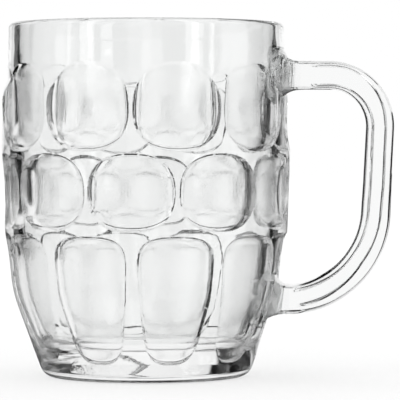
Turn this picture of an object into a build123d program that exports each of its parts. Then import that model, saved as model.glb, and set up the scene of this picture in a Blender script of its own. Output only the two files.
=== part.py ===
from build123d import *
from math import degrees, radians, sqrt, tan
import os

# Dimpled glass beer mug of one pint: a pressed glass body with three rows of hollows,
# and a handle that is pressed apart and welded to it hot at two roots.
# Millimetres and degrees. The origin is on the mug's axis on the table, +Z is up and
# +X points along the handle.

# Heights of the bands, stacked from the table up
FOOT_HEIGHT = 8.5
PANEL_HEIGHT = 40.1
LOWER_GAP = 2.6
MIDDLE_HEIGHT = 24.9
UPPER_GAP = 1.5
TOP_HEIGHT = 27.2
BAND_HEIGHT = 16.2

# Outer wall, measured on the ribs: its widest radius, how far each other level lies
# inside that, and the heights that the stack doesn't give
BELLY_RADIUS = 50.1
RIM_STEP = 3.0
BAND_STEP = 2.6
WAIST_STEP = 1.7
KNEE_STEP = 4.1
FOOT_STEP = 15.1
BAND_FOOT_DROP = 3.3
SHOULDER_DROP = 8.8
KNEE_RISE = 20.5
BAND_ROUND = 8.0
SHOULDER_ROUND = 10.0
WAIST_ROUND = 60.0
KNEE_ROUND = 40.0
FOOT_ROUND = 5.0

# Glass thickness and the inside
RIM_WALL = 3.6
RIB_WALL = 5.8
FLOOR_THICKNESS = 11.8
FLOOR_ROUND = 7.0
LIP_OUTER_ROUND = 1.8
LIP_INNER_ROUND = 1.4

# Underside: a ring that stands on the table, measured in from the foot's corner, round a
# shallow punt
STAND_WIDTH = 8.0
PUNT_HEIGHT = 2.0

# Hollows: each is the print of a large wheel with rounded edges
COLUMNS = 10
TOP_DEPTH = 3.1
TOP_WHEEL = 93.0
MIDDLE_DEPTH = 2.8
MIDDLE_WHEEL = 95.0
DIMPLE_SHOULDER = 12.0
PANEL_DEPTH = 2.3
PANEL_END_DEPTH = 1.9
PANEL_WHEEL = 67.0
PANEL_SHOULDER = 6.0

# Handle: a flat bar bent to a D that flares where it meets the body
FINGER_GAP = 26.3
GRIP_THICKNESS = 9.5
GRIP_WIDTH = 17.0
GRIP_OUTER_ROUND = 2.6
GRIP_INNER_ROUND = 1.6
GRIP_LEAN = 3.0
HANDLE_DROP = 18.0
HANDLE_FOOT = 26.5
TOP_BEND = 17.3
FOOT_BEND = 31.0
ROOT_FLARE = 5.0

# Allowances: how a hollow's cutter slopes and reaches out of the wall past its rounded
# ends, its room beside the hollow, and how deep in the glass a root's flare runs out
CUTTER_SLOPE = 60.0
CUTTER_REACH = 8.0
CUTTER_MARGIN = 3.0
FLARE_SINK = 0.5

# Levels that follow from the stack, and the radius that the ring leaves for the punt
PANEL_TOP = FOOT_HEIGHT + PANEL_HEIGHT
MIDDLE_BOTTOM = PANEL_TOP + LOWER_GAP
MIDDLE_TOP = MIDDLE_BOTTOM + MIDDLE_HEIGHT
TOP_BOTTOM = MIDDLE_TOP + UPPER_GAP
TOP_TOP = TOP_BOTTOM + TOP_HEIGHT
HEIGHT = TOP_TOP + BAND_HEIGHT
KNEE_LEVEL = FOOT_HEIGHT + KNEE_RISE
WAIST_LEVEL = PANEL_TOP + LOWER_GAP / 2
HANDLE_TOP = HEIGHT - HANDLE_DROP
PUNT_RADIUS = BELLY_RADIUS - FOOT_STEP - STAND_WIDTH

# Corners of the outer wall as (radius, height) from the foot to the rim, and their rounding
OUTER_CORNERS = [
    (BELLY_RADIUS - FOOT_STEP, 0),
    (BELLY_RADIUS - KNEE_STEP, KNEE_LEVEL),
    (BELLY_RADIUS - WAIST_STEP, WAIST_LEVEL),
    (BELLY_RADIUS, TOP_TOP - SHOULDER_DROP),
    (BELLY_RADIUS - BAND_STEP, TOP_TOP - BAND_FOOT_DROP),
    (BELLY_RADIUS - RIM_STEP, HEIGHT),
]
OUTER_ROUNDS = [FOOT_ROUND, KNEE_ROUND, WAIST_ROUND, SHOULDER_ROUND, BAND_ROUND, LIP_OUTER_ROUND]


def wall_radius(z):
    """Radius of the outer wall on a rib at height z, before rounding."""
    for (r0, z0), (r1, z1) in zip(OUTER_CORNERS, OUTER_CORNERS[1:]):
        if z <= z1:
            return r0 + (r1 - r0) * (z - z0) / (z1 - z0)
    return OUTER_CORNERS[-1][0]


def turned(outline):
    """Solid of revolution about the mug's axis of a closed outline drawn as (radius, height)."""
    return revolve(Plane.XZ * make_face(outline), Axis.Z)


def blank():
    """The body before its hollows and its inside: the outer wall, the ring and the punt."""
    wall = FilletPolyline((PUNT_RADIUS, 0), *OUTER_CORNERS, (0, HEIGHT), radius=OUTER_ROUNDS)
    punt = TangentArc((0, PUNT_HEIGHT), (PUNT_RADIUS, 0), tangent=(1, 0))
    return turned(wall + Line((0, HEIGHT), (0, PUNT_HEIGHT)) + punt)


def inside():
    """The space that holds the drink."""
    wall = FilletPolyline(
        (0, FLOOR_THICKNESS),
        (wall_radius(FLOOR_THICKNESS) - RIB_WALL, FLOOR_THICKNESS),
        (wall_radius(KNEE_LEVEL) - RIB_WALL, KNEE_LEVEL),
        (wall_radius(WAIST_LEVEL) - RIB_WALL, WAIST_LEVEL),
        (wall_radius(HEIGHT) - RIM_WALL, HEIGHT),
        radius=[FLOOR_ROUND, KNEE_ROUND, WAIST_ROUND],
    )
    mouth = Polyline(wall @ 1, (0, HEIGHT), (0, FLOOR_THICKNESS))
    return turned(wall + mouth)


def hollowed(solid):
    """The body with its inside cut out and the lip's inner edge rounded."""
    solid = solid - inside()
    lip = solid.edges().group_by(Axis.Z)[-1].sort_by(SortBy.RADIUS)[0]
    return fillet(lip, LIP_INNER_ROUND)


def wheel_print(floor, shoulder, wheel):
    """Cutter for one hollow, on the +X side of the body.

    floor is the hollow's bottom line as (radius, height) points from low to high, shoulder
    the rounding at its two ends, and wheel the radius that the bottom has across.
    """
    low, *knees, high = [Vector(radius, 0, z) for radius, z in floor]
    along = (high - low).normalized()
    outward = Vector(along.Z, 0, -along.X)
    # The line runs on past each end, to the corner that the shoulder rounds off, and the
    # cutter's side slopes out of the wall from there
    overrun = along * (shoulder * tan(radians(CUTTER_SLOPE / 2)))
    spread = along * (CUTTER_REACH / tan(radians(CUTTER_SLOPE)))
    first, last = low - overrun, high + overrun
    start = first - spread + outward * CUTTER_REACH
    end = last + spread + outward * CUTTER_REACH
    rounds = [shoulder] + [KNEE_ROUND] * len(knees) + [shoulder]
    outline = FilletPolyline(start, first, *knees, last, end, radius=rounds) + Line(end, start)
    # Half the hollow's width, from the depth and the two curvatures that meet at its edge
    deepest = max(TOP_DEPTH, MIDDLE_DEPTH, PANEL_DEPTH)
    half_width = sqrt(2 * deepest / (1 / wheel + 1 / BELLY_RADIUS)) + CUTTER_MARGIN
    swing = degrees(half_width / wheel)
    axle = Axis((low + high) / 2 + outward * wheel, along)
    return revolve(make_face(outline), axle, 2 * swing).rotate(axle, -swing)


def dimple(bottom, top, depth, slope, wheel):
    """Cutter for one roundish hollow between two heights, its floor leaning by slope."""
    middle = (bottom + top) / 2

    def floor(z):
        return wall_radius(middle) - depth + (z - middle) * slope

    def run(z):
        """Height over which the shoulder rises from the floor to the wall at z."""
        rise = wall_radius(z) - floor(z)
        return sqrt(rise * (2 * DIMPLE_SHOULDER - rise))

    low, high = bottom + run(bottom), top - run(top)
    return wheel_print([(floor(low), low), (floor(high), high)], DIMPLE_SHOULDER, wheel)


def panel():
    """Cutter for one tall hollow of the lowest row, which follows the wall round its knee."""
    run = sqrt(PANEL_END_DEPTH * (2 * PANEL_SHOULDER - PANEL_END_DEPTH))
    low, high = FOOT_HEIGHT + run, PANEL_TOP - run
    floor = [
        (wall_radius(low) - PANEL_END_DEPTH, low),
        (wall_radius(KNEE_LEVEL) - PANEL_DEPTH, KNEE_LEVEL),
        (wall_radius(high) - PANEL_END_DEPTH, high),
    ]
    return wheel_print(floor, PANEL_SHOULDER, PANEL_WHEEL)


def pressed_blank():
    """The blank with its three rows of hollows, the middle row set half a pitch round."""
    pitch = 360 / COLUMNS
    wall_slope = (wall_radius(MIDDLE_TOP) - wall_radius(MIDDLE_BOTTOM)) / MIDDLE_HEIGHT
    rows = [
        (dimple(TOP_BOTTOM, TOP_TOP, TOP_DEPTH, 0, TOP_WHEEL), 0),
        (dimple(MIDDLE_BOTTOM, MIDDLE_TOP, MIDDLE_DEPTH, wall_slope, MIDDLE_WHEEL), pitch / 2),
        (panel(), 0),
    ]
    solid = blank()
    for cutter, offset in rows:
        for column in range(COLUMNS):
            solid -= cutter.rotate(Axis.Z, offset + column * pitch)
    return solid


def grip_section():
    """Section of the handle's bar: local X points away from the fingers, local Y across."""
    bar = Rectangle(GRIP_THICKNESS, GRIP_WIDTH)
    bar = fillet(bar.vertices().group_by(Axis.X)[-1], GRIP_OUTER_ROUND)
    return fillet(bar.vertices().group_by(Axis.X)[0], GRIP_INNER_ROUND)


def handle_bar():
    """The bent bar, with both arms run on into the body."""
    reach = BELLY_RADIUS + FINGER_GAP + GRIP_THICKNESS / 2
    foot_reach = reach - (HANDLE_TOP - HANDLE_FOOT) * tan(radians(GRIP_LEAN))
    start = BELLY_RADIUS / 2
    path = FilletPolyline(
        (start, 0, HANDLE_TOP),
        (reach, 0, HANDLE_TOP),
        (foot_reach, 0, HANDLE_FOOT),
        (start, 0, HANDLE_FOOT),
        radius=[TOP_BEND, FOOT_BEND],
    )
    across = Plane(origin=(start, 0, HANDLE_TOP), x_dir=(0, 0, 1), z_dir=(1, 0, 0))
    return sweep(across * grip_section(), path=path)


def flare_core(level, depth_low, depth_high):
    """Core hidden in the glass at a root's level, which the root's flare runs out on."""
    reach = GRIP_THICKNESS / 2 + 2 * ROOT_FLARE
    low, high = level - reach, level + reach
    outline = Polyline(
        (0, low),
        (wall_radius(low) - depth_low - FLARE_SINK, low),
        (wall_radius(high) - depth_high - FLARE_SINK, high),
        (0, high),
        close=True,
    )
    return turned(outline)


def welded_handle(seat):
    """The bar with a flare at each root, cut off where it meets the seat."""
    solid = handle_bar()
    for core in (flare_core(HANDLE_TOP, TOP_DEPTH, 0), flare_core(HANDLE_FOOT, PANEL_DEPTH, PANEL_DEPTH)):
        joined = solid + core
        solid = fillet(new_edges(solid, core, combined=joined), ROOT_FLARE)
    return solid - seat


pressed = pressed_blank()
glass_body = hollowed(pressed)
handle = welded_handle(pressed)

os.makedirs("parts", exist_ok=True)
export_step(glass_body, "parts/glass_body.step")
export_step(handle, "parts/handle.step")
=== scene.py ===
import math

import bpy
import numpy as np
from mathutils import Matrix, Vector

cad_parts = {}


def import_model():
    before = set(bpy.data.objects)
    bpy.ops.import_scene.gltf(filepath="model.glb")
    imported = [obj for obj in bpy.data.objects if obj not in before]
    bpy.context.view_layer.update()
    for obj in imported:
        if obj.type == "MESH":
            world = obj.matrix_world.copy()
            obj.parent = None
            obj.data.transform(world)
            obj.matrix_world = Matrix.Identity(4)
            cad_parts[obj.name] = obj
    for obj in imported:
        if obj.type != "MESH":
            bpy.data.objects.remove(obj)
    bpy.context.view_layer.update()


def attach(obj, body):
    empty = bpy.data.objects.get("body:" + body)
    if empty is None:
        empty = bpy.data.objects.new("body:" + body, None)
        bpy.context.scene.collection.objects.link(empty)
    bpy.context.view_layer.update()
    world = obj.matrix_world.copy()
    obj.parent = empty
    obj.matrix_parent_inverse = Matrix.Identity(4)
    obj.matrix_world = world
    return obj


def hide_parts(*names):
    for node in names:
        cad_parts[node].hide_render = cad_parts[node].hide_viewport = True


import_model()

# Dimpled glass beer mug on a white studio floor. The mug is in millimetres until its meshes are made,
# with the part's own sizes, and the studio is in metres.
MM = 0.001

# Outer wall on the ribs as (radius, height) corners from the foot to the rim, with their rounding
HEIGHT = 121.0
KNEE = 29.0
WAIST = 49.9
OUTER_CORNERS = [(35.0, 0.0), (46.0, KNEE), (48.4, WAIST), (50.1, 96.0), (47.5, 101.5), (47.1, HEIGHT)]
OUTER_ROUNDS = [5.0, 40.0, 60.0, 10.0, 8.0, 1.8]
# Inner wall from the rim down to the middle of the floor
INNER_FLOOR = 11.8
INNER_CORNERS = [(43.5, HEIGHT), (42.6, WAIST), (40.2, KNEE), (33.68, INNER_FLOOR), (0.0, INNER_FLOOR)]
INNER_ROUNDS = [1.4, 60.0, 40.0, 7.0]
# Radius at which the outside and the inside meet on top of the rim
RIM_MIDDLE = 45.3
PUNT_RADIUS = 27.0
PUNT_HEIGHT = 2.0

# Hollows: lowest, deepest and highest point, half width at these three in degrees round the axis,
# how fast the floor rises across and along, and the share of the depth that is a lip at the edge
COLUMNS = 10
DISC = dict(widths=(17.3, 17.3, 17.3), across=2.4, along=2.4, lip=0.4)
TOP_ROW = dict(DISC, low=77.2, middle=91.0, high=106.6)
MIDDLE_ROW = dict(DISC, low=50.7, middle=63.6, high=76.5)
PANEL_ROW = dict(
    low=6.4, middle=28.0, high=49.2, widths=(12.0, 15.4, 16.4), across=2.6, along=7.0, lip=0.5
)
# The top row's floors are upright, at this radius, and at least so deep
TOP_FLOOR = 46.0
TOP_LEAST_DEPTH = 0.3
MIDDLE_DEPTH = 2.8
PANEL_DEPTH = 2.3
# Width over which the edges of hollows are rounded, and the power by which their lips rise
EDGE_SOFTNESS = 0.12
LIP_STEEP = 7.0
# Outside its edge a hollow rises no further than this
MOST_RISE = 2.0
# A hollow is satin from the marks of its mould up to the first of these rises, and clear from the second
SATIN_RISE = (0.4, 0.7)

# Handle: heights of its arms, how far out the grip is at both ends, and its bends
HANDLE_TOP = 103.0
HANDLE_FOOT = 26.5
GRIP_REACH = 81.15
FOOT_REACH = 77.14
TOP_BEND = 17.3
FOOT_BEND = 31.0
GRIP_WIDTH = 17.0
# Its section from the upper root, 0, to the lower one, 1: thickness, the bands beside the raised flat
# and the height of the flat, each as shares of the length and sizes there
THICKNESS = ([0, 0.5, 0.75, 0.9, 1], [9.5, 9.5, 10.3, 10.2, 9.5])
BAND_SHARES = [0, 0.12, 0.3, 0.5, 0.75, 1]
OUTER_BAND = (BAND_SHARES, [1.1, 1.1, 2.6, 2.3, 3.8, 2.1])
INNER_BAND = (BAND_SHARES, [1.0, 1.1, 1.9, 2.1, 1.8, 1.4])
FLAT_HEIGHT = ([0.0, 0.025, 0.97, 1.0], [0, 1.3, 1.3, 0])
# The step beside the flat, and the slope at the edges of the bar
STEP_RUN = 0.7
EDGE_RUN = 0.7
EDGE_DROP = 1.7
# Roots: how far their flare spreads, how deep they sit in the body, where the arms take over from
# them, and how long they are
ROOT_FLARE = 5.0
WELD_SINK = 0.5
TOP_JOIN = 55.5
FOOT_JOIN = 50.0
TOP_ROOT = 6.5
FOOT_ROOT = 5.5

# Meshes: points round the body, degrees between points on rounded corners, radii of the rings under the
# body, rows of its pressed wall before they are refined as (from, to, step), that wall's mean radius, and
# steps along the inside and along the handle
AROUND = 240
ARC_STEP = 2.0
INNER_ARC_STEP = 6.0
PUNT_RINGS = (0.4, 1, 2, 3, 4.5, 6, 8, 10, 12, 14, 16, 18, 20, 22, 24, 25.5, 26.6)
WALL_ROWS = [
    (4.6, 5.6, 1.0), (5.6, 9.2, 0.6), (9.2, 18, 1.1), (18, 38, 1.8), (38, 57, 1.1), (57, 70, 1.3),
    (70, 85, 1.1), (85, 96, 1.3), (96, 108, 1.2), (108, 118.5, 2.2),
]
MEAN_RADIUS = 48.0
INNER_STEP = 5.0
HANDLE_STEP = 2.0
# Rings of a root, as shares of its weld's face from the middle out and of its length
WELD_SHARES = [k / 15 for k in range(15)] + [0.97]
ROOT_SHARES = (0, 0.015, 0.05, 0.11, 0.19, 0.28, 0.38, 0.5, 0.63, 0.78, 1)


def rounded(points, radii, arc_step):
    """Points along a polyline whose inner corners are rounded, arc_step degrees apart on the arcs."""
    points = [np.array(p, float) for p in points]
    made = [points[0]]
    for before, corner, after, radius in zip(points, points[1:], points[2:], radii):
        back = (before - corner) / np.linalg.norm(before - corner)
        ahead = (after - corner) / np.linalg.norm(after - corner)
        half = math.acos(np.clip(back @ ahead, -1, 1)) / 2
        middle = (back + ahead) / np.linalg.norm(back + ahead)
        centre = corner + middle * radius / math.sin(half)
        first = corner + back * radius / math.tan(half) - centre
        turn = math.pi - 2 * half
        for s in np.linspace(0, turn, max(2, math.ceil(math.degrees(turn) / arc_step)) + 1):
            made.append(centre + first * math.cos(s) - back * radius * math.sin(s))
    made.append(points[-1])
    return np.array(made)


def smooth(share):
    """0 to 1 with a level start and end."""
    return share**2 * (3 - 2 * share)


# Rows of hollows with the turn of their first one
PITCH = 2 * math.pi / COLUMNS
HOLLOWS = [(TOP_ROW, 0.0), (MIDDLE_ROW, PITCH / 2), (PANEL_ROW, 0.0)]
# The outer wall, on the ribs. Its last point lies past the middle of the rim, where the rounding has ended.
PAST_RIM = (RIM_MIDDLE - 0.4, HEIGHT)
OUTLINE = rounded([(PUNT_RADIUS, 0.0), *OUTER_CORNERS, PAST_RIM], OUTER_ROUNDS, ARC_STEP)


def hollow_rise(row, turn, theta, z):
    """How far a row's nearest hollow has risen from its floor: 0 in its middle and 1 at its edge."""
    beside = np.degrees((theta - turn + PITCH / 2) % PITCH - PITCH / 2)
    low, middle, high = row["low"], row["middle"], row["high"]
    across = np.abs(beside) / np.interp(z, (low, middle, high), row["widths"])
    along = np.where(z < middle, (middle - z) / (middle - low), (z - middle) / (high - middle))
    rise = np.minimum(across ** row["across"] + along ** row["along"], MOST_RISE)
    return (1 - row["lip"]) * rise + row["lip"] * rise**LIP_STEEP


def hollow_satin(theta, z):
    """How satin the pressed wall is: 1 on the floors of the hollows, 0 on their edges and the ribs."""
    rise = np.min([hollow_rise(row, turn, theta, z) for row, turn in HOLLOWS], axis=0)
    satin, clear = SATIN_RISE
    return smooth(np.clip((clear - rise) / (clear - satin), 0, 1))


def soft_min(a, b, width):
    """The smaller of two radii, rounded over where they cross."""
    share = np.clip(1 - np.abs(a - b) / width, 0, None)
    return np.minimum(a, b) - share**2 * width / 4


def body_radius(theta, z):
    """Radius of the pressed outer wall in direction theta at height z."""
    theta, z = np.broadcast_arrays(np.asarray(theta, float), np.asarray(z, float))
    wall = np.interp(z, OUTLINE[:, 1], OUTLINE[:, 0])
    r = wall
    depths = [np.maximum(wall - TOP_FLOOR, TOP_LEAST_DEPTH), MIDDLE_DEPTH, PANEL_DEPTH]
    for (row, turn), depth in zip(HOLLOWS, depths):
        cut = wall - depth * (1 - hollow_rise(row, turn, theta, z))
        r = soft_min(r, cut, EDGE_SOFTNESS)
    return r


def wall_normal(theta, z, step=0.02, turn=0.0004):
    """Outward normal of the pressed wall, from its radius a step up and down and a turn to both sides."""
    r = body_radius(theta, z)
    around = (body_radius(theta + turn, z) - body_radius(theta - turn, z)) / (2 * turn * r)
    up = (body_radius(theta, z + step) - body_radius(theta, z - step)) / (2 * step)
    cos, sin = np.cos(theta), np.sin(theta)
    normal = np.stack([cos + around * sin, sin - around * cos, -up], axis=1)
    return normal / np.linalg.norm(normal, axis=1)[:, None]


def ring(radius, z):
    """One ring of points about the mug's axis."""
    theta = np.arange(AROUND) * 2 * math.pi / AROUND
    return np.stack([radius * np.cos(theta), radius * np.sin(theta), np.full(AROUND, z)], axis=1)


def bridge(rings):
    """Faces between rings of point numbers, each as long as the next one or a single point."""
    faces = []
    for a, b in zip(rings, rings[1:]):
        count = max(len(a), len(b))
        for j in range(count):
            k = (j + 1) % count
            if len(b) == 1:
                faces.append((a[j], a[k], b[0]))
            elif len(a) == 1:
                faces.append((a[0], b[k], b[j]))
            else:
                faces.append((a[j], a[k], b[k], b[j]))
    return faces


def split(triangle, middles):
    """What a triangle becomes with some sides halved: numbers of their middle points, or -1 for none."""
    a, b, c = triangle
    ab, bc, ca = middles
    halved = sum(middle >= 0 for middle in middles)
    if halved == 0:
        return [triangle]
    if halved == 3:
        return [(a, ab, ca), (ab, b, bc), (ca, bc, c), (ab, bc, ca)]
    if halved == 1:
        while ab < 0:
            a, b, c, ab, bc, ca = b, c, a, bc, ca, ab
        return [(a, ab, c), (ab, b, c)]
    while ca >= 0:
        a, b, c, ab, bc, ca = b, c, a, bc, ca, ab
    return [(ab, b, bc), (a, ab, bc), (a, bc, c)]


def refined_wall(levels, passes=4, turn_limit=12.0, least=0.22):
    """The pressed wall as (theta, z) points and triangles, with more of them where it turns sharply.

    A side is halved where its ends face turn_limit degrees apart and its halves are longer than least.
    """
    rows = len(levels)
    theta = np.tile(np.arange(AROUND) * 2 * math.pi / AROUND, rows)
    z = np.repeat(levels, AROUND)
    i, j = np.meshgrid(np.arange(rows - 1), np.arange(AROUND), indexing="ij")
    k = (j + 1) % AROUND
    a, b, c, d = i * AROUND + j, i * AROUND + k, (i + 1) * AROUND + k, (i + 1) * AROUND + j
    odd = ((i + j) % 2 == 1)[..., None]
    one = np.where(odd, np.stack([a, b, d], -1), np.stack([a, b, c], -1))
    two = np.where(odd, np.stack([b, c, d], -1), np.stack([a, c, d], -1))
    faces = np.concatenate([one.reshape(-1, 3), two.reshape(-1, 3)])
    limit = math.cos(math.radians(turn_limit))
    for _ in range(passes):
        normals = wall_normal(theta, z)
        sides = np.stack([faces, np.roll(faces, -1, axis=1)], -1).reshape(-1, 2)
        edges, which = np.unique(np.sort(sides, axis=1), axis=0, return_inverse=True)
        p, q = edges.T
        across = (theta[q] - theta[p] + math.pi) % (2 * math.pi) - math.pi
        length = np.hypot(across * MEAN_RADIUS, z[q] - z[p])
        sharp = (np.sum(normals[p] * normals[q], axis=1) < limit) & (length > 2 * least)
        number = np.full(len(edges), -1)
        number[sharp] = len(theta) + np.arange(sharp.sum())
        theta = np.concatenate([theta, (theta[p] + across / 2)[sharp] % (2 * math.pi)])
        z = np.concatenate([z, ((z[p] + z[q]) / 2)[sharp]])
        middles = number[which.reshape(-1)].reshape(-1, 3)
        made = [split(*pair) for pair in zip(faces.tolist(), middles.tolist())]
        faces = np.array([triangle for triangles in made for triangle in triangles])
    return theta, z, faces


class Skin:
    """Points, their normals, how satin they are, and faces of a piece while it is being made."""

    def __init__(self):
        self.points, self.normals, self.satin, self.faces = [], [], [], []

    def keep(self, points, normals=None, satin=0.0):
        """Adds points and returns their numbers. Without normals, Blender finds them."""
        start = sum(len(p) for p in self.points)
        self.points.append(np.asarray(points, float))
        self.normals.append(np.zeros((len(points), 3)) if normals is None else normals)
        self.satin.append(np.broadcast_to(satin, len(points)))
        return np.arange(start, start + len(points))

    def piece(self, name, material):
        """A smooth mesh object in metres."""
        points, normals, satin = [np.concatenate(x) for x in (self.points, self.normals, self.satin)]
        faces = [tuple(int(i) for i in face) for face in self.faces]
        mesh = bpy.data.meshes.new(name)
        mesh.from_pydata((points * MM).tolist(), [], faces)
        mesh.shade_smooth()
        mesh.normals_split_custom_set_from_vertices(normals.tolist())
        mesh.attributes.new("satin", "FLOAT", "POINT").data.foreach_set("value", satin)
        mesh.materials.append(material)
        obj = bpy.data.objects.new(name, mesh)
        bpy.context.scene.collection.objects.link(obj)
        return obj


def body_skin():
    """The body from the middle of its underside, up the outside and down to its floor."""
    skin = Skin()
    dome = (PUNT_RADIUS**2 + PUNT_HEIGHT**2) / (2 * PUNT_HEIGHT)
    centre = (0, 0, PUNT_HEIGHT - dome)
    low = [skin.keep([[0, 0, PUNT_HEIGHT]])]
    for r in PUNT_RINGS:
        under = ring(r, PUNT_HEIGHT - dome + math.sqrt(dome**2 - r**2))
        low.append(skin.keep(under, (centre - under) / dome))
    low.append(skin.keep(ring(PUNT_RADIUS, 0)))
    wall_from, wall_to = WALL_ROWS[0][0], WALL_ROWS[-1][1]
    for r, z in OUTLINE[1:]:
        if z < wall_from:
            low.append(skin.keep(ring(r, z)))
    levels = [np.linspace(a, b, round((b - a) / step), endpoint=False) for a, b, step in WALL_ROWS]
    levels = np.concatenate([*levels, [wall_to]])
    theta, z, faces = refined_wall(levels)
    r = body_radius(theta, z)
    points = np.stack([r * np.cos(theta), r * np.sin(theta), z], axis=1)
    wall = skin.keep(points, wall_normal(theta, z), hollow_satin(theta, z))
    high = [wall[AROUND * (len(levels) - 1):AROUND * len(levels)]]
    gap = 0.1
    for r, z in OUTLINE[:-1]:
        if z > wall_to + gap and r > RIM_MIDDLE:
            high.append(skin.keep(ring(r, z)))
    inner = rounded([(RIM_MIDDLE, HEIGHT), *INNER_CORNERS], INNER_ROUNDS, INNER_ARC_STEP)
    for a, b in zip(inner, inner[1:]):
        pieces = max(1, round(np.linalg.norm(b - a) / INNER_STEP))
        for share in np.linspace(0, 1, pieces, endpoint=False):
            high.append(skin.keep(ring(*(a + (b - a) * share))))
    high.append(skin.keep([[0, 0, INNER_FLOOR]]))
    skin.faces = bridge(low + [wall[:AROUND]]) + wall[faces].tolist() + bridge(high)
    return skin


def outline(corners, steps=4, least_cut=0.06, straight=1e-4):
    """A closed outline, clockwise, as points and outward normals.

    Each corner is (x, y, rounding, pieces of the straight that follows), with steps on its arc. No arc
    starts closer than least_cut to its corner, so a corner that lies on a straight keeps its points.
    """
    xy = np.array([c[:2] for c in corners], float)
    ways = np.roll(xy, -1, axis=0) - xy
    ways /= np.linalg.norm(ways, axis=1)[:, None]
    arcs = []
    for k, (_, _, radius, _) in enumerate(corners):
        before, after = ways[k - 1], ways[k]
        turn = math.atan2(before[0] * after[1] - before[1] * after[0], before @ after)
        cut = max(radius * math.tan(abs(turn) / 2), least_cut)
        s = np.linspace(0, 1, steps + 1)[:, None]
        cos, sin = np.cos(turn * s), np.sin(turn * s)
        normals = np.hstack([-before[1] * cos - before[0] * sin, before[0] * cos - before[1] * sin])
        points = xy[k] - before * cut
        if abs(turn) > straight:
            points = points + (normals[0] - normals) * cut / math.tan(turn / 2)
        else:
            points = points + before * 2 * cut * s
        arcs.append((points, normals))
    points, normals = [], []
    for k, (arc, facing) in enumerate(arcs):
        pieces = corners[k][3]
        shares = (np.arange(1, pieces) / pieces)[:, None]
        points += [arc, arc[-1] + (arcs[(k + 1) % len(arcs)][0][0] - arc[-1]) * shares]
        normals += [facing, np.repeat(facing[-1:], pieces - 1, axis=0)]
    return np.concatenate(points), np.concatenate(normals)


def grip_section(thickness, outer_band, inner_band, flat):
    """The handle's bar, x away from the fingers and y across, with a raised flat on both faces."""
    t, w = thickness / 2, GRIP_WIDTH / 2
    edge, corner, crease, pieces = 0.3, 0.15, 0.12, 5
    half = [
        (t, -w + flat + EDGE_DROP, edge, 1),
        (t - EDGE_RUN, -w + flat, corner, 1),
        (t - outer_band, -w + flat, crease, 1),
        (t - outer_band - STEP_RUN, -w, corner, pieces),
        (-t + inner_band + STEP_RUN, -w, corner, 1),
        (-t + inner_band, -w + flat, crease, 1),
        (-t + EDGE_RUN, -w + flat, corner, 1),
        (-t, -w + flat + EDGE_DROP, edge, pieces),
    ]
    other = [(x, -y, radius, n) for (x, y, radius, _), (*_, n) in zip(half[::-1], half)]
    return outline(half + other)


def seat_x(y, z, start=47.0, rounds=12):
    """Where the body's outer surface is, along +X, at a point across and up."""
    x = np.full(np.shape(y), start)
    for _ in range(rounds):
        r = body_radius(np.arctan2(y, x), z)
        x = np.sqrt(r**2 - np.square(y))
    return x


def weld(skin, level, side, section, join, span):
    """Rings of one root from the weld's middle, inside the glass, out to just before join."""
    points, normals = section
    made = []
    for s in WELD_SHARES:
        flat = (points + normals * ROOT_FLARE) * s if s else np.zeros((1, 2))
        y, z = flat[:, 1], level + side * flat[:, 0]
        made.append(skin.keep(np.stack([seat_x(y, z) - WELD_SINK, y, z], axis=1)))
    # The flare, a quarter circle, leaves along the body's surface, so it is taken from a little way off
    start, before_join = 0.05, 1.0
    stations = [(0, -WELD_SINK)] + [(share, span * share) for share in ROOT_SHARES]
    for share, away in stations:
        rise = max(ROOT_FLARE - max(away, start), 0.0)
        drop = math.sqrt(ROOT_FLARE**2 - rise**2)
        flat = points + normals * (ROOT_FLARE - drop)
        y, z = flat[:, 1], level + side * flat[:, 0]
        blend = smooth(share)
        x = seat_x(y, z) * (1 - blend) + (join - span - before_join) * blend + away
        facing = np.stack([np.full(len(y), rise / drop), normals[:, 1], side * normals[:, 0]], axis=1)
        facing /= np.linalg.norm(facing, axis=1)[:, None]
        made.append(skin.keep(np.stack([x, y, z], axis=1), None if away < 0 else facing))
    return made


def handle_skin():
    """The handle from inside its upper weld, round the grip and into its lower weld."""
    skin = Skin()
    inside = 20.0
    upper = [(TOP_JOIN, HANDLE_TOP), (GRIP_REACH, HANDLE_TOP)]
    lower = [(FOOT_REACH, HANDLE_FOOT), (inside, HANDLE_FOOT)]
    path = rounded(upper + lower, [TOP_BEND, FOOT_BEND], ARC_STEP)
    dense = [path[0]]
    for a, b in zip(path, path[1:]):
        pieces = max(1, round(np.linalg.norm(b - a) / HANDLE_STEP))
        dense += [a + (b - a) * s for s in np.linspace(0, 1, pieces + 1)[1:]]
    path = np.array([p for p in dense if p[0] >= FOOT_JOIN])
    length = np.concatenate([[0], np.cumsum(np.linalg.norm(np.diff(path, axis=0), axis=1))])
    tangent = np.gradient(path, length, axis=0)
    tangent /= np.linalg.norm(tangent, axis=1)[:, None]
    share = length / length[-1]
    sizes = [np.interp(share, *profile) for profile in (THICKNESS, OUTER_BAND, INNER_BAND, FLAT_HEIGHT)]
    sections = [grip_section(*at) for at in zip(*sizes)]
    rings = weld(skin, HANDLE_TOP, 1, sections[0], TOP_JOIN, TOP_ROOT)
    for p, t, (points, normals) in zip(path, tangent, sections):
        out = np.array([-t[1], t[0]])
        place = [p[0] + points[:, 0] * out[0], points[:, 1], p[1] + points[:, 0] * out[1]]
        facing = [normals[:, 0] * out[0], normals[:, 1], normals[:, 0] * out[1]]
        rings.append(skin.keep(np.stack(place, axis=1), np.stack(facing, axis=1)))
    rings += reversed(weld(skin, path[-1][1], -1, sections[-1], FOOT_JOIN, FOOT_ROOT))
    skin.faces = bridge(rings)
    return skin


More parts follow.
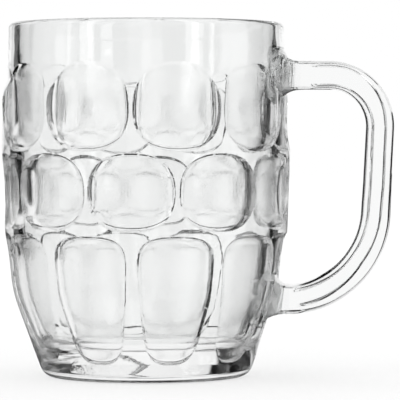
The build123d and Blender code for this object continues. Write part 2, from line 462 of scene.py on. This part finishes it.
class Graph:
    """Short forms for the shader nodes that numbers go through."""

    def __init__(self, tree):
        self.nodes, self.links = tree.nodes, tree.links

    def node(self, kind, **sockets):
        made = self.nodes.new("ShaderNode" + kind)
        for name, value in sockets.items():
            self.set(made.inputs[name.replace("_", " ")], value)
        return made

    def set(self, socket, value):
        if isinstance(value, bpy.types.NodeSocket):
            self.links.new(value, socket)
        else:
            socket.default_value = value

    def math(self, operation, *values):
        made = self.nodes.new("ShaderNodeMath")
        made.operation = operation
        for socket, value in zip(made.inputs, values):
            self.set(socket, value)
        return made.outputs[0]

    def most(self, *values):
        found = values[0]
        for value in values[1:]:
            found = self.math("MAXIMUM", found, value)
        return found

    def length(self, x, y):
        squares = self.math("ADD", self.math("MULTIPLY", x, x), self.math("MULTIPLY", y, y))
        return self.math("SQRT", squares)

    def mix(self, share, a, b):
        """a where share is 0 and b where it is 1."""
        made = self.node("Mix", Factor=share)
        self.set(made.inputs["A"], a)
        self.set(made.inputs["B"], b)
        return made.outputs["Result"]

    def step(self, value, start, end):
        """0 up to start, 1 from end on."""
        made = self.node("MapRange", Value=value, From_Min=start, From_Max=end)
        made.interpolation_type = "SMOOTHSTEP"
        return made.outputs["Result"]

    def fall(self, value, start, end, loss=1.0):
        """1 up to start, less by loss from end on."""
        step = self.step(value, start, end)
        if loss != 1.0:
            step = self.math("MULTIPLY", step, loss)
        return self.math("SUBTRACT", 1.0, step)

    def band(self, value, centre, half, soft):
        """1 within half of centre, 0 beyond."""
        off = self.math("ABSOLUTE", self.math("SUBTRACT", value, centre))
        return self.fall(off, half - soft / 2, half + soft / 2)

    def azimuth(self, x, y):
        """Degrees from +Y towards +X."""
        return self.math("MULTIPLY", self.math("ARCTAN2", x, y), 180 / math.pi)


GLASS_TINT = (0.985, 0.99, 0.988, 1)
GLASS_IOR = 1.52
# Roughness of the bare glass, and what satin, its marks, smears and scuffs add
BARE = 0.004
SATIN = 0.04
MARKED = 0.2
SMEARED = 0.03
SCUFFED = 0.35
# Mould marks are drawn out upright. Smears and grit show where their noise passes from the first value
# to the second, and scuffs fade out over these heights, in metres.
MARK_STRETCH = (1.0, 1.0, 0.09)
SMEAR_FADE = (0.5, 0.75)
GRIT_FADE = (0.42, 0.6)
SCUFF_FADE = (0.0001, 0.0007)
# Height of the ripple in metres, and of marks and scuffs as shares of it
RIPPLE = 0.00006
MARK_RELIEF = 1.4
SCUFF_RELIEF = 0.4


def glass(name):
    """Clear pressed glass: fine upright mould marks where it is satin, smears, a scuffed standing ring."""
    material = bpy.data.materials.new(name)
    material.use_nodes = True
    g = Graph(material.node_tree)
    shader = g.nodes["Principled BSDF"]
    g.set(shader.inputs["Base Color"], GLASS_TINT)
    g.set(shader.inputs["Transmission Weight"], 1.0)
    g.set(shader.inputs["IOR"], GLASS_IOR)
    place = g.node("TexCoord").outputs["Object"]
    satin = g.node("Attribute")
    satin.attribute_name = "satin"
    satin = satin.outputs["Fac"]
    upright = g.node("Mapping", Vector=place, Scale=MARK_STRETCH).outputs["Vector"]
    marks = g.node("TexNoise", Vector=upright, Scale=1400.0, Detail=3.0, Roughness=0.6).outputs["Fac"]
    smears = g.node("TexNoise", Vector=place, Scale=70.0, Detail=4.0, Roughness=0.65).outputs["Fac"]
    grit = g.node("TexNoise", Vector=place, Scale=2600.0, Detail=2.0).outputs["Fac"]
    ripple = g.node("TexNoise", Vector=place, Scale=120.0, Detail=1.0).outputs["Fac"]
    height = g.node("SeparateXYZ", Vector=place).outputs["Z"]
    scuffs = g.math("MULTIPLY", g.fall(height, *SCUFF_FADE), g.step(grit, *GRIT_FADE))
    rough = g.math("MULTIPLY", satin, g.math("MULTIPLY_ADD", marks, MARKED, SATIN))
    rough = g.math("MULTIPLY_ADD", g.step(smears, *SMEAR_FADE), SMEARED, rough)
    rough = g.math("MULTIPLY_ADD", scuffs, SCUFFED, rough)
    g.set(shader.inputs["Roughness"], g.math("ADD", rough, BARE))
    relief = g.math("MULTIPLY_ADD", g.math("MULTIPLY", marks, satin), MARK_RELIEF, ripple)
    relief = g.math("MULTIPLY_ADD", scuffs, SCUFF_RELIEF, relief)
    bump = g.node("Bump", Strength=1.0, Distance=RIPPLE, Height=relief)
    g.set(shader.inputs["Normal"], bump.outputs["Normal"])
    return material


# The studio as the glass shows it. Directions are (centre, half width) in degrees from +Y towards +X.
# The backdrop is brightest at its glow. The flanks are white screens that are seen only through the
# glass, and the strips are lamps by the camera, each with its strength.
BACKDROP = (-4.0, 30.0)
BACKDROP_RISE = 28.0
GLOW = -5.0
GLOW_FADE = (10.0, 38.0, 0.15)
FLANKS = [(-90.0, 20.0), (90.0, 14.0), (180.0, 10.0), (-180.0, 10.0)]
FLANK_RISE = 24.0
STRIPS = [(-136.0, 6.0, 2.6), (136.0, 6.0, 2.6), (-119.0, 2.0, 2.0), (119.0, 2.0, 2.0)]
STRIP_RISE = (10.0, 50.0)
SCREEN_SOFT = 3.0
STRIP_SOFT = 1.5
STRIP_END_SOFT = 6.0
DARK = 0.005
ROOM_LIGHT = 0.75


def world():
    """White for the camera. Glass shows bright screens with dark between them, and strip lamps."""
    shade = bpy.data.worlds.new("studio")
    shade.use_nodes = True
    bpy.context.scene.world = shade
    g = Graph(shade.node_tree)
    way = g.node("SeparateXYZ", Vector=g.node("TexCoord").outputs["Generated"]).outputs
    around = g.azimuth(way["X"], way["Y"])
    up = g.math("MULTIPLY", g.math("ARCSINE", way["Z"]), 180 / math.pi)
    path = g.node("LightPath").outputs

    glow = g.fall(g.length(g.math("SUBTRACT", around, GLOW), up), *GLOW_FADE)
    behind = g.band(around, *BACKDROP, SCREEN_SOFT)
    behind = g.math("MULTIPLY", behind, g.band(up, 0.0, BACKDROP_RISE, SCREEN_SOFT))
    behind = g.math("MULTIPLY", glow, behind)
    beside = g.most(*[g.band(around, *flank, SCREEN_SOFT) for flank in FLANKS])
    beside = g.math("MULTIPLY", beside, g.band(up, 0.0, FLANK_RISE, SCREEN_SOFT))
    lamps = [g.math("MULTIPLY", g.band(around, *at, STRIP_SOFT), level) for *at, level in STRIPS]
    lamps = g.math("MULTIPLY", g.most(*lamps), g.band(up, *STRIP_RISE, STRIP_END_SOFT))
    mirrored = g.most(lamps, behind, DARK)
    strength = g.mix(path["Is Glossy Ray"], ROOM_LIGHT, mirrored)
    strength = g.mix(path["Is Transmission Ray"], strength, g.most(mirrored, beside))
    strength = g.mix(path["Is Camera Ray"], strength, 1.0)
    background = g.nodes["Background"]
    g.set(background.inputs["Color"], (1, 1, 1, 1))
    g.set(background.inputs["Strength"], strength)


# The floor, with its own tone and glow for the camera. Through the glass it is lit in the directions of
# the backdrop and the flanks as seen from a point before the mug, apart from a dark ring round it, and
# in two corners near it. Each pair is where a fade starts and ends, in metres from the mug's axis.
FLOOR_HALF = 6.0
FLOOR_DROP = 0.0002
FLOOR_TONE = (0.45, 0.45, 0.45, 1)
FLOOR_GLOW = 0.68
FLOOR_LIGHT = 0.09
RING_FROM = (0.105, 0.115)
RING_TO = (0.14, 0.15)
LIT_CORNERS = [(-48.0, 26.0), (135.0, 30.0)]
CORNER_SOFT = 6.0
CORNER_END = (0.45, 0.6)


def floor():
    """A pale floor that shows white and keeps a soft shadow. Glass shows it bright only in part."""
    corners = [(-1, -1), (1, -1), (1, 1), (-1, 1)]
    mesh = bpy.data.meshes.new("floor")
    mesh.from_pydata([(x * FLOOR_HALF, y * FLOOR_HALF, 0) for x, y in corners], [], [(0, 1, 2, 3)])
    obj = bpy.data.objects.new("floor", mesh)
    bpy.context.scene.collection.objects.link(obj)
    obj.location.z = -FLOOR_DROP
    material = bpy.data.materials.new("floor_white")
    material.use_nodes = True
    g = Graph(material.node_tree)
    shader = g.nodes["Principled BSDF"]
    g.set(shader.inputs["Base Color"], FLOOR_TONE)
    g.set(shader.inputs["Roughness"], 0.9)
    g.set(shader.inputs["Specular IOR Level"], 0.0)
    g.set(shader.inputs["Emission Color"], (1, 1, 1, 1))
    g.set(shader.inputs["Emission Strength"], FLOOR_GLOW)
    place = g.node("SeparateXYZ", Vector=g.node("NewGeometry").outputs["Position"]).outputs
    x, y = place["X"], place["Y"]
    around = g.azimuth(x, g.math("ADD", y, FLOOR_LIGHT))
    away = g.length(x, y)
    lit = g.most(g.step(away, *RING_TO), g.fall(away, *RING_FROM))
    sectors = g.most(*[g.band(around, *sector, SCREEN_SOFT) for sector in [BACKDROP, *FLANKS]])
    far = g.math("MULTIPLY", sectors, lit)
    near = g.most(*[g.band(around, *corner, CORNER_SOFT) for corner in LIT_CORNERS])
    near = g.math("MULTIPLY", near, g.fall(away, *CORNER_END))
    path = g.node("LightPath").outputs
    through = g.math("MULTIPLY", g.most(far, near), path["Is Transmission Ray"])
    shown = g.node("Emission", Color=(1, 1, 1, 1), Strength=g.most(through, DARK))
    bent = g.most(path["Is Transmission Ray"], path["Is Glossy Ray"])
    mixed = g.node("MixShader", Fac=bent)
    g.links.new(shader.outputs[0], mixed.inputs[1])
    g.links.new(shown.outputs[0], mixed.inputs[2])
    g.links.new(mixed.outputs[0], g.nodes["Material Output"].inputs["Surface"])
    mesh.materials.append(material)


# Camera: lens and sensor in millimetres, the point it looks at, and how far off, to the right and above
LENS = 252.0
SENSOR = 36.0
AIM = (0.0185, 0.0, 0.0604)
CAMERA_AWAY = 0.96
CAMERA_TURN = 4.8
CAMERA_ABOVE = 0.0186


def camera():
    """The camera at the photograph's angle, nearly level and a little to the right."""
    data = bpy.data.cameras.new("camera")
    obj = bpy.data.objects.new("camera", data)
    bpy.context.scene.collection.objects.link(obj)
    data.lens = LENS
    data.sensor_width = SENSOR
    aim = Vector(AIM)
    turn = math.radians(CAMERA_TURN)
    away = Vector((math.sin(turn), -math.cos(turn), 0.0)) * CAMERA_AWAY
    obj.location = aim + away + Vector((0.0, 0.0, CAMERA_ABOVE))
    obj.rotation_mode = "QUATERNION"
    obj.rotation_quaternion = (aim - obj.location).to_track_quat("-Z", "Y")
    data.clip_start = 0.05
    data.clip_end = 50.0
    bpy.context.scene.camera = obj


camera()
world()
floor()
body = body_skin().piece("mug_body", glass("body_glass"))
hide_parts("glass_body")
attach(body, "root")
grip = handle_skin().piece("mug_handle", glass("handle_glass"))
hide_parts("handle")
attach(grip, "root")

scene = bpy.context.scene
scene.view_settings.view_transform = "Standard"
scene.cycles.denoising_input_passes = "RGB"
scene.cycles.max_bounces = 40
scene.cycles.transmission_bounces = 40
scene.cycles.glossy_bounces = 16
scene.cycles.transparent_max_bounces = 16
